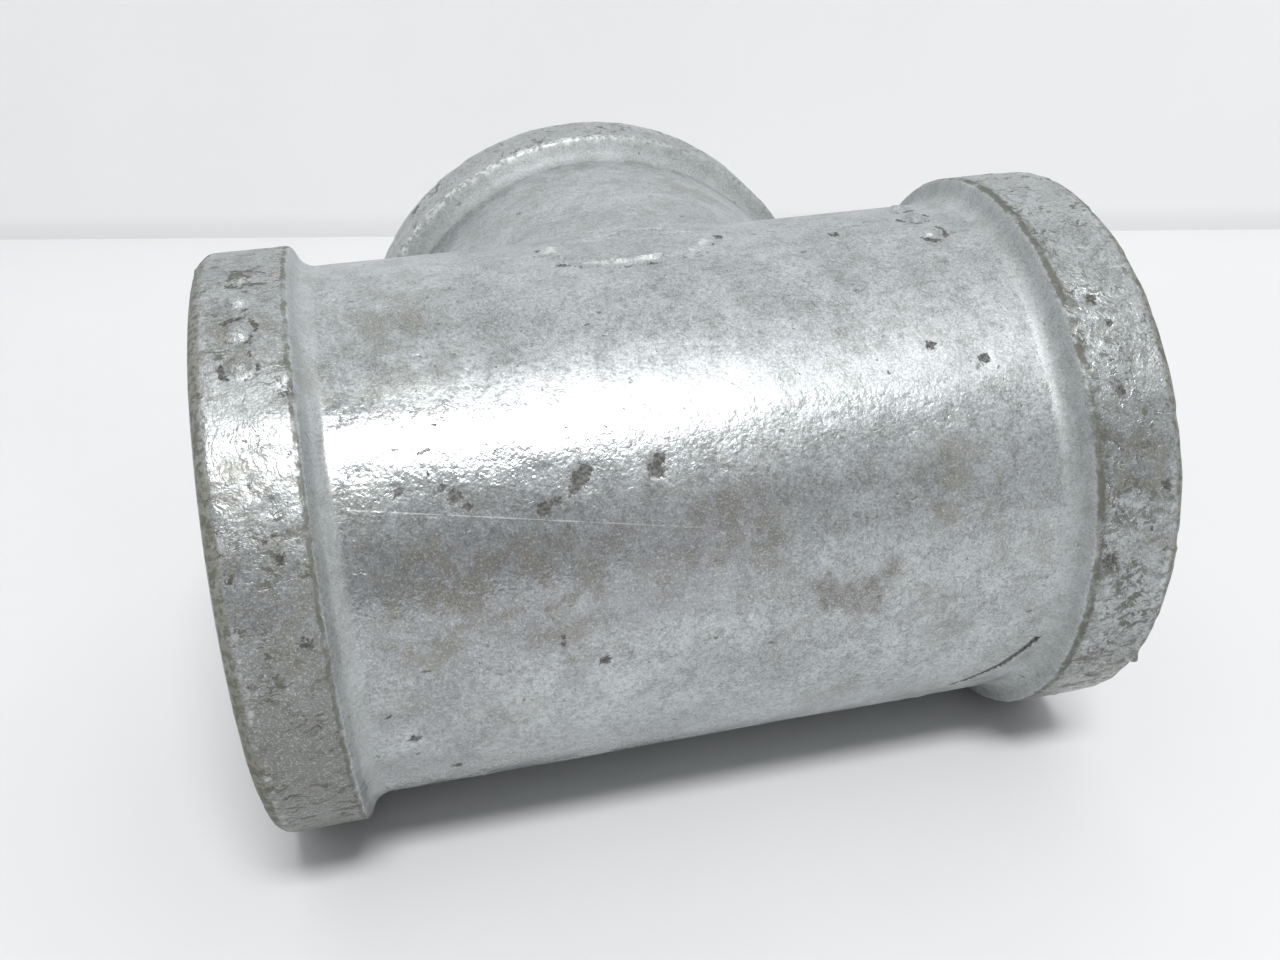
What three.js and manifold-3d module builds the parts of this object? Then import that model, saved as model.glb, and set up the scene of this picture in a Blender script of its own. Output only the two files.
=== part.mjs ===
// A 2 inch (DN 50) equal pipe tee, class 150: one malleable iron casting, hot-dip galvanised,
// with a reinforcing band round each of its three ends and a 2-11 1/2 NPT thread tapped in each.
// Millimetres, +Z up. The run lies along X and the branch points along +Y. The fitting lies on
// its three bands on the plane z = 0, and the origin is the middle of its footprint there.

import * as THREE from "three";
import { mergeVertices } from "three/addons/utils/BufferGeometryUtils.js";
import Module from "manifold-3d";

// ---- driving dimensions ----------------------------------------------------

const CENTRE_TO_END = 57.15; // axes' crossing to each end face, 2 1/4 in
const BAND_R = 38.6; // outside radius of the end bands
const BAND_WIDTH = 11.6; // end face to the top of the band's shoulder
const BODY_R = 35.7; // outside radius of the run and the branch between the bands
const RIM_ROUND = 2.0; // rounding of a band's outer rim
const SHOULDER_ROUND = 1.0; // rounding of a band's inner edge
const SHOULDER_RUN = 3.6; // axial length of the hollow shoulder from band to body
const CROTCH_R = 5.0; // fillet where the branch meets the run

const CHAMBER_R = 30.7; // cored waterway behind the threads
const LAND_DEPTH = 20.4; // end face to the end of the tapped land
const LAND_FLARE = 2.6; // axial length of the cored step from land to chamber
const MOUTH_R = 30.7; // countersink at the end face

const THREAD_PITCH = 25.4 / 11.5;
const THREAD_TAPER = 1 / 32; // on the radius, for each millimetre of depth
const PITCH_R_AT_FACE = 58.325 / 2;
const THREAD_HEIGHT = 0.8 * THREAD_PITCH;

const PAD_HALF_LENGTH = 11.0; // plain oval pad cast on top, where a foundry would put its mark
const PAD_HALF_WIDTH = 5.7;
const PAD_HEIGHT = 0.6;
const PAD_CENTRE = [-3.5, 0.8];
const PIP_R = 1.5; // plain round pips cast on the body and on one band
const PIP_HEIGHT = 0.5;

const OUTER_SIDES = 60; // facets round the outside
const CHAMBER_SIDES = 48;
const THREAD_SIDES = 32; // facets in one turn of thread

// ---- solids from three.js geometry -----------------------------------------

const wasm = await Module();
wasm.setup();

function solid(geometry) {
  const g = geometry.clone();
  g.deleteAttribute("normal");
  g.deleteAttribute("uv");
  const merged = mergeVertices(g, 1e-4);
  const index = merged.index.array;
  const tri = [];
  for (let i = 0; i < index.length; i += 3) {
    const [a, b, c] = [index[i], index[i + 1], index[i + 2]];
    if (a !== b && b !== c && c !== a) tri.push(a, b, c);
  }
  const make = (t) =>
    new wasm.Manifold(
      new wasm.Mesh({
        numProp: 3,
        vertProperties: new Float32Array(merged.attributes.position.array),
        triVerts: new Uint32Array(t),
      }),
    );
  const made = make(tri);
  if (made.volume() > 0) return made;
  for (let i = 0; i < tri.length; i += 3)
    [tri[i + 1], tri[i + 2]] = [tri[i + 2], tri[i + 1]];
  return make(tri);
}

const AXIS_X = new THREE.Matrix4().makeRotationZ(-Math.PI / 2); // the lathe's +Y axis to +X
const AXIS_MINUS_X = new THREE.Matrix4().makeRotationZ(Math.PI / 2);
const AXIS_Y = new THREE.Matrix4(); // a lathe's own axis is +Y already

// A solid of revolution: [distance along the axis, radius] pairs that start and end on the axis.
function turned(profile, sides, matrix) {
  const points = profile.map(([s, r]) => new THREE.Vector2(r, s));
  return solid(new THREE.LatheGeometry(points, sides).applyMatrix4(matrix));
}

// ---- outside ---------------------------------------------------------------

// One end, from the crossing of the axes out to the end face.
function neckProfile() {
  const top = CENTRE_TO_END;
  const shoulder = top - BAND_WIDTH;
  const drop = BAND_R - SHOULDER_ROUND - BODY_R;
  const out = [
    [0, 0],
    [0, BODY_R],
  ];
  // hollow shoulder: a quarter ellipse, tangent to the body and standing up at the band
  for (let i = 0; i <= 3; i++) {
    const a = (i / 3) * (Math.PI / 2);
    out.push([
      shoulder - SHOULDER_RUN + SHOULDER_RUN * Math.sin(a),
      BODY_R + drop * (1 - Math.cos(a)),
    ]);
  }
  for (let i = 1; i <= 2; i++) {
    const a = (i / 2) * (Math.PI / 2);
    out.push([
      shoulder + SHOULDER_ROUND * (1 - Math.cos(a)),
      BAND_R - SHOULDER_ROUND * (1 - Math.sin(a)),
    ]);
  }
  for (let i = 0; i <= 2; i++) {
    const a = (i / 2) * (Math.PI / 2);
    out.push([
      top - RIM_ROUND * (1 - Math.sin(a)),
      BAND_R - RIM_ROUND * (1 - Math.cos(a)),
    ]);
  }
  out.push([top, 0]);
  return out;
}

const neck = neckProfile();
const mirrored = neck
  .slice(1)
  .reverse()
  .map(([s, r]) => [-s, r]);
const run = turned(
  [...mirrored.slice(0, -1), ...neck.slice(2)],
  OUTER_SIDES,
  AXIS_X,
);
const branch = turned(neck, OUTER_SIDES, AXIS_Y);

// The fillet in the corner between run and branch, on the side where x has the sign given.
// A ball of radius CROTCH_R rolls along the corner; its centre keeps the same distance from
// both axes, so it stays over the line |x| = y.
function crotchFillet(sign) {
  const reach = BODY_R + CROTCH_R;
  const steps = 24;
  const arcs = 4;
  const bite = 1 + 0.1 / CROTCH_R; // the arc's two ends pass 0.1 mm under the faceted necks
  const rings = [];
  for (let i = 0; i <= steps; i++) {
    const a = -1.48 + (2.96 * i) / steps; // angle of the ball's centre above the parting plane
    const t = reach * Math.cos(a);
    const z = reach * Math.sin(a);
    const k = BODY_R / reach;
    const centre = new THREE.Vector3(t, t, z);
    const onRun = new THREE.Vector3(t, t * k, z * k).sub(centre);
    const onBranch = new THREE.Vector3(t * k, t, z * k).sub(centre);
    const angle = onRun.angleTo(onBranch);
    const ring = [];
    for (let j = 0; j <= arcs; j++) {
      const u = j / arcs;
      const w0 = Math.sin((1 - u) * angle) / Math.sin(angle);
      const w1 = Math.sin(u * angle) / Math.sin(angle);
      ring.push(
        centre
          .clone()
          .addScaledVector(onRun, w0 * bite)
          .addScaledVector(onBranch, w1 * bite),
      );
    }
    // two points sunk in the casting, so that the fillet joins it with a real overlap
    const sunk = 0.9;
    ring.push(new THREE.Vector3(t * k * sunk, t * sunk, z * k * sunk));
    ring.push(new THREE.Vector3(t * sunk, t * k * sunk, z * k * sunk));
    rings.push(ring);
  }
  const count = arcs + 3;
  const vertices = [];
  for (const ring of rings)
    for (const p of ring) vertices.push(sign * p.x, p.y, p.z);
  const index = [];
  for (let i = 0; i < steps; i++)
    for (let j = 0; j < count; j++) {
      const a = i * count + j;
      const b = i * count + ((j + 1) % count);
      index.push(a, b, b + count, a, b + count, a + count);
    }
  for (let j = 1; j < count - 1; j++) {
    index.push(0, j + 1, j);
    const e = steps * count;
    index.push(e, e + j, e + j + 1);
  }
  const g = new THREE.BufferGeometry();
  g.setAttribute("position", new THREE.Float32BufferAttribute(vertices, 3));
  g.setIndex(index);
  return solid(g);
}

// ---- raised marks ----------------------------------------------------------

// A plain raised shape seen from one side, lying on a cylinder of the given radius about X and,
// where y is positive, on one of the same radius about Y.
function raised(shape, place, radius, height) {
  const prism = new THREE.ExtrudeGeometry(shape, {
    depth: 12,
    bevelEnabled: false,
    curveSegments: 10,
  })
    .translate(0, 0, radius - 10)
    .applyMatrix4(place);
  const shell = (start, axis) =>
    turned(
      [
        [start, 0],
        [start, radius + height],
        [CENTRE_TO_END - 3, radius + height],
        [CENTRE_TO_END - 3, 0],
      ],
      OUTER_SIDES,
      axis,
    );
  const skin = shell(-CENTRE_TO_END + 3, AXIS_X);
  if (radius > BODY_R) return solid(prism).intersect(skin);
  return solid(prism).intersect(skin.add(shell(0, AXIS_Y)));
}

function circle(r) {
  return new THREE.Shape().absarc(0, 0, r, 0, 2 * Math.PI);
}

const oval = new THREE.Shape().absellipse(
  0,
  0,
  PAD_HALF_LENGTH,
  PAD_HALF_WIDTH,
  0,
  2 * Math.PI,
);
const marks = [
  raised(
    oval,
    new THREE.Matrix4().makeTranslation(...PAD_CENTRE, 0),
    BODY_R,
    PAD_HEIGHT,
  ),
];
// three pips on top of the body near one band
for (const y of [-5.2, 0, 5.2])
  marks.push(
    raised(
      circle(PIP_R),
      new THREE.Matrix4().makeTranslation(36, y, 0),
      BODY_R,
      PIP_HEIGHT,
    ),
  );
// a row of pips round the other band, just past the top on the side away from the branch
for (const tilt of [0.1, 0.24, 0.38, 0.52])
  marks.push(
    raised(
      circle(PIP_R),
      new THREE.Matrix4()
        .makeRotationX(tilt)
        .setPosition(-CENTRE_TO_END + 5.6, 0, 0),
      BAND_R,
      PIP_HEIGHT,
    ),
  );

// ---- inside ----------------------------------------------------------------

// The tapped land: a tapered bar whose surface is the thread, to be cut from the end. Its crest
// and root run as helices; the inner end stops in the open chamber and the outer end past the face.
function threadCutter(matrix) {
  const first = LAND_DEPTH + THREAD_PITCH + 0.3; // the bar starts a full pitch inside the chamber
  const turns = 11;
  const crest = PITCH_R_AT_FACE + THREAD_HEIGHT / 2;
  const root = PITCH_R_AT_FACE - THREAD_HEIGHT / 2;
  const rows = turns * 2;
  const at = (i, j) => {
    const depth =
      first - THREAD_PITCH * (j / 2 + i / THREAD_SIDES);
    const r = (j % 2 ? crest : root) - Math.max(depth, 0) * THREAD_TAPER;
    const a = (2 * Math.PI * i) / THREAD_SIDES;
    return [r * Math.sin(a), CENTRE_TO_END - depth, r * Math.cos(a)];
  };
  const vertices = [];
  const index = [];
  // vertices i = 0 .. THREAD_SIDES - 1 in each row; the row closes two rows further on
  for (let j = 0; j <= rows + 2; j++)
    for (let i = 0; i < THREAD_SIDES; i++) vertices.push(...at(i, j));
  const v = (i, j) =>
    i < THREAD_SIDES ? j * THREAD_SIDES + i : (j + 2) * THREAD_SIDES;
  for (let j = 0; j < rows; j++)
    for (let i = 0; i < THREAD_SIDES; i++) {
      const [a, b, c, d] = [v(i, j), v(i + 1, j), v(i + 1, j + 1), v(i, j + 1)];
      index.push(a, b, c, a, c, d);
    }
  const low = vertices.length / 3;
  vertices.push(0, CENTRE_TO_END - first - 1, 0);
  const high = low + 1;
  vertices.push(0, at(0, rows + 2)[1] + 1, 0);
  // The end loops: along the first row, then back over the two short steps of the helix.
  const loop = (j) => {
    const l = [];
    for (let i = 0; i < THREAD_SIDES; i++) l.push(v(i, j));
    l.push((j + 2) * THREAD_SIDES, (j + 1) * THREAD_SIDES);
    return l;
  };
  const start = loop(0);
  const end = loop(rows);
  for (let k = 0; k < start.length; k++) {
    index.push(low, start[(k + 1) % start.length], start[k]);
    index.push(high, end[k], end[(k + 1) % end.length]);
  }
  const used = new Map();
  const packed = [];
  const remap = index.map((n) => {
    if (!used.has(n)) {
      used.set(n, packed.length / 3);
      packed.push(vertices[3 * n], vertices[3 * n + 1], vertices[3 * n + 2]);
    }
    return used.get(n);
  });
  const g = new THREE.BufferGeometry();
  g.setAttribute("position", new THREE.Float32BufferAttribute(packed, 3));
  g.setIndex(remap);
  return solid(g.applyMatrix4(matrix));
}

const land = CENTRE_TO_END - LAND_DEPTH;
const inner = PITCH_R_AT_FACE - THREAD_HEIGHT / 2 - LAND_DEPTH * THREAD_TAPER;
const half = [
  [land - LAND_FLARE, CHAMBER_R],
  [land - LAND_FLARE * 0.35, CHAMBER_R - (CHAMBER_R - inner) * 0.35],
  [land, inner],
  [land, 0],
];
const chamberRun = turned(
  [...half.map(([s, r]) => [-s, r]).reverse(), ...half],
  CHAMBER_SIDES,
  AXIS_X,
);
const chamberBranch = turned([[0, 0], [0, CHAMBER_R], ...half], CHAMBER_SIDES, AXIS_Y);

const mouthProfile = [
  [CENTRE_TO_END - MOUTH_R, 0],
  [CENTRE_TO_END + 1, MOUTH_R + 1],
  [CENTRE_TO_END + 1, 0],
];

// ---- the casting -----------------------------------------------------------

let casting = run.add(branch).add(crotchFillet(1)).add(crotchFillet(-1));
for (const mark of marks) casting = casting.add(mark);
casting = casting.subtract(chamberRun).subtract(chamberBranch);
for (const axis of [AXIS_X, AXIS_MINUS_X, AXIS_Y])
  casting = casting
    .subtract(threadCutter(axis))
    .subtract(turned(mouthProfile, THREAD_SIDES, axis));

function geometryOf(manifold) {
  const mesh = manifold.getMesh();
  const g = new THREE.BufferGeometry();
  const position = new Float32Array((mesh.vertProperties.length / mesh.numProp) * 3);
  for (let i = 0; i < position.length / 3; i++)
    for (let k = 0; k < 3; k++)
      position[3 * i + k] = mesh.vertProperties[i * mesh.numProp + k];
  g.setAttribute("position", new THREE.BufferAttribute(position, 3));
  g.setIndex(new THREE.BufferAttribute(new Uint32Array(mesh.triVerts), 1));
  g.computeVertexNormals();
  return g;
}

const tee = new THREE.Mesh(
  geometryOf(casting),
  new THREE.MeshStandardMaterial({
    color: 0xa3a7aa, // weathered zinc
    roughness: 0.42,
    metalness: 0.9,
  }),
);
tee.name = "tee_body";

// The axes cross in the middle of the run; the footprint's middle lies towards the branch.
const part = new THREE.Group();
part.add(tee);
part.position.set(0, -(CENTRE_TO_END - BAND_R) / 2, BAND_R);

export default part;
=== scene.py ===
import math

import bmesh
import bpy
import numpy as np
from mathutils import Matrix, Vector


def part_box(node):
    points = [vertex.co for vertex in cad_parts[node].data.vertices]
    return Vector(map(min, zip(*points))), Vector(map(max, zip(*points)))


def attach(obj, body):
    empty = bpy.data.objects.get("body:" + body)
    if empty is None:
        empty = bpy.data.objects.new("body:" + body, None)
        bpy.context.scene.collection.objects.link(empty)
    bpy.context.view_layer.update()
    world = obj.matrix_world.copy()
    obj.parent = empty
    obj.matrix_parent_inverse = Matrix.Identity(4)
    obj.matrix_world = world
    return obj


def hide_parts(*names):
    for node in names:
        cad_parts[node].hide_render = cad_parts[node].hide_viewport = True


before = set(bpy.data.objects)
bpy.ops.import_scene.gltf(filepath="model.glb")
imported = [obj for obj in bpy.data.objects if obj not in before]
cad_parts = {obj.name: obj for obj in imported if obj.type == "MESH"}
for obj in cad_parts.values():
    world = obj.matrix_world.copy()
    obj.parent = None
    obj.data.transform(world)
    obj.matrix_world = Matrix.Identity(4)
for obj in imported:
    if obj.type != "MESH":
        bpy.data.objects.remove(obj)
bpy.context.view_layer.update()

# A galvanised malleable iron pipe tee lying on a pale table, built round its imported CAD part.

# ---- the frame's own sizes, in millimetres ----------------------------------------------------

NODE = "tee_body"
lo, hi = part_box(NODE)
END = hi.x * 1000  # axes' crossing to each end face
BAND_R = (hi.y - lo.y) * 1000 - END
AXIS_Y = lo.y * 1000 + BAND_R
AXIS_Z = lo.z * 1000 + BAND_R
CENTRE = np.array([0.0, AXIS_Y, AXIS_Z])

BAND_W = 11.6
BODY_R = 35.7
SHOULDER = 3.9
CROTCH_R = 5.0
CHAMBER_R = 30.7
LAND = 20.4
PITCH = 25.4 / 11.5
TAPER = 1 / 32
PITCH_R = 58.325 / 2
THREAD_H = 0.8 * PITCH

SIDES = 264  # round the outside; a multiple of four
BODY_STEPS = 45  # axial steps from the crossing to a shoulder

# how each cast band differs a little from the drawn one: end face out, radius up, inner edge moved outwards,
# rim rounding and inner edge rounding
LEFT = dict(out=0.25, grow=0.0, shift=1.0, rim=2.15, edge=0.75)
RIGHT = dict(out=0.50, grow=0.30, shift=0.35, rim=1.95, edge=0.85)
BRANCH = dict(out=0.25, grow=0.45, shift=0.5, rim=2.1, edge=0.9)

# ---- smooth noise, the same on every run ------------------------------------------------------


def _bits(ix, iy, iz, seed):
    h = (
        ix.astype(np.uint32) * np.uint32(374761393)
        + iy.astype(np.uint32) * np.uint32(668265263)
        + iz.astype(np.uint32) * np.uint32(2246822519)
        + np.uint32((seed * 3266489917) & 0xFFFFFFFF)
    )
    h ^= h >> np.uint32(15)
    h *= np.uint32(2246822519)
    h ^= h >> np.uint32(13)
    h *= np.uint32(3266489917)
    h ^= h >> np.uint32(16)
    return h


def noise(p, wave, seed):
    """Gradient noise of about -1 to 1 at points p, with features about wave across."""
    q = p / wave + 1000.0
    base = np.floor(q).astype(np.int64)
    f = q - base
    u = f * f * f * (f * (f * 6 - 15) + 10)
    total = np.zeros(len(p))
    for dx in (0, 1):
        for dy in (0, 1):
            for dz in (0, 1):
                h = _bits(base[:, 0] + dx, base[:, 1] + dy, base[:, 2] + dz, seed)
                gx = (h & np.uint32(1023)).astype(float) / 511.5 - 1
                gy = ((h >> np.uint32(10)) & np.uint32(1023)).astype(float) / 511.5 - 1
                gz = ((h >> np.uint32(20)) & np.uint32(1023)).astype(float) / 511.5 - 1
                d = gx * (f[:, 0] - dx) + gy * (f[:, 1] - dy) + gz * (f[:, 2] - dz)
                w = (
                    (u[:, 0] if dx else 1 - u[:, 0])
                    * (u[:, 1] if dy else 1 - u[:, 1])
                    * (u[:, 2] if dz else 1 - u[:, 2])
                )
                total += w * d
    return total * 1.25


def fbm(p, wave, octaves, seed, gain=0.5):
    out, amp, norm = np.zeros(len(p)), 1.0, 0.0
    for k in range(octaves):
        out += amp * noise(p, wave / 2**k, seed + 17 * k)
        norm += amp
        amp *= gain
    return out / norm


def step(a, b, x):
    t = np.clip((x - a) / (b - a), 0, 1)
    return t * t * (3 - 2 * t)


# ---- the casting's outside --------------------------------------------------------------------


def neck_nodes(band):
    """(distance from the crossing, radius) from a shoulder's foot, over the band, to the middle of the end face."""
    end, big, edge, rim = END + band["out"], BAND_R + band["grow"], band["edge"], band["rim"]
    lean, hollow = math.radians(64), 2.55
    # hollow fillet, then a short slope, then the band's rounded inner edge, laid out from the edge backwards
    rise = big - BODY_R - (hollow + edge) * (1 - math.cos(lean))
    run = (hollow + edge) * math.sin(lean) + rise / math.tan(lean)
    foot = END - BAND_W + band["shift"] - run
    nodes = [(foot + hollow * math.sin(lean * k / 7), BODY_R + hollow * (1 - math.cos(lean * k / 7))) for k in range(8)]
    s1, r1 = nodes[-1]
    s2, r2 = s1 + rise / math.tan(lean), r1 + rise
    nodes += [(s1 + (s2 - s1) * k / 3, r1 + (r2 - r1) * k / 3) for k in (1, 2, 3)]
    for k in range(1, 6):
        a = lean * (1 - k / 5)
        nodes.append((s2 + edge * (math.sin(lean) - math.sin(a)), big - edge * (1 - math.cos(a))))
    s3 = nodes[-1][0]
    flat = end - rim * 0.94
    count = round((flat - s3) / 0.74)
    for k in range(1, count + 1):
        nodes.append((s3 + (flat - s3) * k / count, big))
    for k in range(1, 8):
        a = math.pi / 2 * k / 7
        nodes.append((flat + rim * 0.94 * math.sin(a), big - rim * (1 - math.cos(a))))
    for r in np.linspace(big - rim, 28.8, 9)[1:]:
        nodes.append((end, float(r)))
    nodes += [(end, 20.0), (end, 9.0), (end, 0.0)]
    return foot, nodes


REACH = BODY_R + CROTCH_R


def outside():
    """The tee's closed outer skin, as if it were solid: run, branch and the fillets between them."""
    verts, faces = [], []
    half = SIDES // 2
    angles = np.linspace(-math.pi / 2, math.pi / 2, half + 1)

    def patch(grid):
        n, m = grid.shape[:2]
        start = sum(len(v) for v in verts)
        verts.append(grid.reshape(-1, 3))
        i, j = np.meshgrid(np.arange(n - 1), np.arange(m - 1), indexing="ij")
        a = start + i * m + j
        faces.append(np.stack([a, a + 1, a + m + 1, a + m], -1).reshape(-1, 4))

    def strip(angle_set, start_of, place, band):
        cols = []
        c = start_of(angle_set)
        foot, neck = neck_nodes(band)
        for k in range(BODY_STEPS + 1):
            s = c + (foot - c) * k / BODY_STEPS
            cols.append(place(s, BODY_R, angle_set))
        for s, r in neck[1:]:
            cols.append(place(np.full(len(angle_set), s), r, angle_set))
        patch(np.stack(cols, 1))

    run = lambda sign: lambda s, r, a: np.stack([sign * s, r * np.cos(a), r * np.sin(a)], 1)
    branch = lambda sign: lambda s, r, a: np.stack([sign * r * np.cos(a), s, r * np.sin(a)], 1)
    touch = lambda a: REACH * np.cos(a)
    for sign, band in ((1, RIGHT), (-1, LEFT)):
        strip(angles, touch, run(sign), band)
        strip(angles + math.pi, lambda a: np.zeros(len(a)), run(sign), band)
        strip(angles, touch, branch(sign), BRANCH)
        # fillet: the rolling ball's arc from its touch on the run to its touch on the branch
        t, z, k = REACH * np.cos(angles), REACH * np.sin(angles), BODY_R / REACH
        centre = np.stack([t, t, z], 1)
        a = np.stack([t, t * k, z * k], 1) - centre
        b = np.stack([t * k, t, z * k], 1) - centre
        cosine = np.clip((a * b).sum(1) / (CROTCH_R**2), -1, 1)
        angle = np.maximum(np.arccos(cosine), 1e-6)
        cols = []
        for u in np.linspace(0, 1, 11):
            w0 = np.sin((1 - u) * angle) / np.sin(angle)
            w1 = np.sin(u * angle) / np.sin(angle)
            q = centre + a * w0[:, None] + b * w1[:, None]
            q[0], q[-1] = (0, 0, -BODY_R), (0, 0, BODY_R)
            cols.append(q * np.array([sign, 1, 1]))
        patch(np.stack(cols, 1))
    return np.concatenate(verts), np.concatenate(faces)


def mesh_of(name, verts, faces):
    """A mesh whose coincident points are merged and whose faces point out."""
    me = bpy.data.meshes.new(name)
    me.from_pydata(verts.tolist(), [], [list(map(int, f)) for f in faces])
    bm = bmesh.new()
    bm.from_mesh(me)
    bmesh.ops.remove_doubles(bm, verts=bm.verts, dist=2e-4)
    bmesh.ops.dissolve_degenerate(bm, edges=bm.edges, dist=1e-5)
    bmesh.ops.recalc_face_normals(bm, faces=bm.faces)
    if bm.calc_volume(signed=True) < 0:
        bmesh.ops.reverse_faces(bm, faces=bm.faces)
    open_edges = sum(1 for e in bm.edges if len(e.link_faces) != 2)
    if open_edges:
        print(name, "has", open_edges, "edges that aren't shared by two faces")
    bm.to_mesh(me)
    bm.free()
    me.update()
    return me


def points(me):
    co = np.zeros(len(me.vertices) * 3)
    me.vertices.foreach_get("co", co)
    return co.reshape(-1, 3)


def normals(me):
    n = np.zeros(len(me.vertices) * 3, np.float32)
    me.vertex_normals.foreach_get("vector", n)
    return n.reshape(-1, 3).astype(float)


def set_points(me, co):
    me.vertices.foreach_set("co", co.astype(np.float32).ravel())
    me.update()


def on_branch(p):
    return p[:, 1] > BAND_R + 0.9


def along(p):
    """Distance past the drawn inner edge of the band a point is nearest to; the band's own shift is taken off."""
    side = np.where(p[:, 0] > 0, RIGHT["shift"], LEFT["shift"])
    s = np.where(on_branch(p), p[:, 1] - BRANCH["shift"], np.abs(p[:, 0]) - side)
    return s - (END - BAND_W)


def reach_of(p):
    return END + np.where(on_branch(p), BRANCH["out"], np.where(p[:, 0] > 0, RIGHT["out"], LEFT["out"]))


# Features at places on the skin: (x, y, z) in millimetres from the crossing.
PITS = [  # centre, radius, depth
    ((-16.3, -29.8, 19.6), 1.05, 0.20),
    ((-15.4, -29.3, 20.5), 0.7, 0.12),
    ((-17.2, -30.4, 18.7), 0.5, 0.10),
    ((-7.5, -29.9, 19.5), 0.95, 0.22),
    ((-6.8, -29.3, 20.6), 0.55, 0.14),
    ((-20.7, -31.3, 17.2), 0.85, 0.14),
    ((-19.2, -30.9, 17.9), 0.6, 0.10),
    ((-30.3, -29.7, 19.8), 0.75, 0.12),
    ((-29.2, -30.5, 18.5), 0.55, 0.10),
    ((-31.6, -29.2, 20.7), 0.4, 0.08),
    ((-24.0, -31.6, 16.8), 0.45, 0.08),
    ((-36.5, -29.0, 20.8), 0.45, 0.10),
    ((-33.0, -28.3, 21.8), 0.4, 0.08),
    ((-48.2, -37.4, 8.5), 0.9, 0.22),
    ((-49.5, -34.4, 17.6), 0.7, 0.18),
    ((-55.0, -34.9, 16.4), 0.7, 0.18),
    ((-20.1, -35.6, 2.1), 0.5, 0.12),
    ((-15.5, -35.7, -1.7), 0.55, 0.14),
    ((23.7, -2.9, 35.6), 0.5, 0.12),
    ((28.8, -22.8, 27.5), 0.5, 0.10),
    ((35.2, -24.7, 25.8), 0.6, 0.12),
    ((49.4, -23.0, 31.0), 0.9, 0.20),
    ((50.6, -25.8, 28.8), 0.6, 0.14),
    ((49.9, -31.4, 22.5), 1.0, 0.20),
    ((47.6, -38.5, 2.9), 1.3, 0.25),
    ((54.6, -36.8, 11.6), 0.9, 0.22),
    ((-38.7, -34.2, -9.6), 0.5, 0.14),
    ((-34.0, -31.0, -17.6), 0.5, 0.12),
    ((-41.0, -35.0, -5.0), 0.4, 0.10),
]
LAP = [(33.6, -28.9, -21.2), (35.6, -29.9, -19.6), (37.3, -30.7, -18.3), (38.9, -31.5, -16.8), (40.3, -32.6, -14.6), (41.2, -33.2, -13.2), (42.3, -33.9, -11.4)]
NICK = (-46.6, -22.4, 31.4)
PAD = (-3.5, 0.8, 11.0, 5.7)  # centre x, y and half sizes of the plain oval on top
BODY_PIPS = [(36.0, y) for y in (-5.2, 0.0, 5.2)]
BAND_PIPS = [np.array([-END + 5.6, -BAND_R * math.sin(t), BAND_R * math.cos(t)]) for t in (0.1, 0.24, 0.38, 0.52)]


def to_segment(p, a, b):
    a, b = np.array(a, float), np.array(b, float)
    t = np.clip(((p - a) @ (b - a)) / ((b - a) @ (b - a)), 0, 1)
    return np.linalg.norm(p - a - t[:, None] * (b - a), axis=1)


def scatter(rng, p, count, weight):
    w = np.maximum(weight, 0)
    return rng.choice(len(p), count, replace=False, p=w / w.sum())


def drawn_out(p, amount):
    """Points squeezed along their own neck, so that noise taken there is drawn out along the axis."""
    q = p.copy()
    b = on_branch(p)
    q[~b, 0] *= amount
    q[b, 1] *= amount
    return q


def oval(p):
    return np.sqrt(((p[:, 0] - PAD[0]) / PAD[2]) ** 2 + ((p[:, 1] - PAD[1]) / PAD[3]) ** 2) + 0.05 * noise(p, 2.6, 61)


def pip_distance(p):
    """Distance to the nearest pip's middle."""
    top = (np.linalg.norm(p[:, 1:], axis=1) < BODY_R + 1.2) & (p[:, 2] > 0)
    out = np.full(len(p), 99.0)
    for x, y in BODY_PIPS:
        out = np.where(top, np.minimum(out, np.hypot(p[:, 0] - x, p[:, 1] - y)), out)
    for c in BAND_PIPS:
        out = np.minimum(out, np.linalg.norm(p - c, axis=1))
    return out


def lap_distance(p):
    return np.min([to_segment(p, LAP[k], LAP[k + 1]) for k in range(len(LAP) - 1)], 0)


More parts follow.
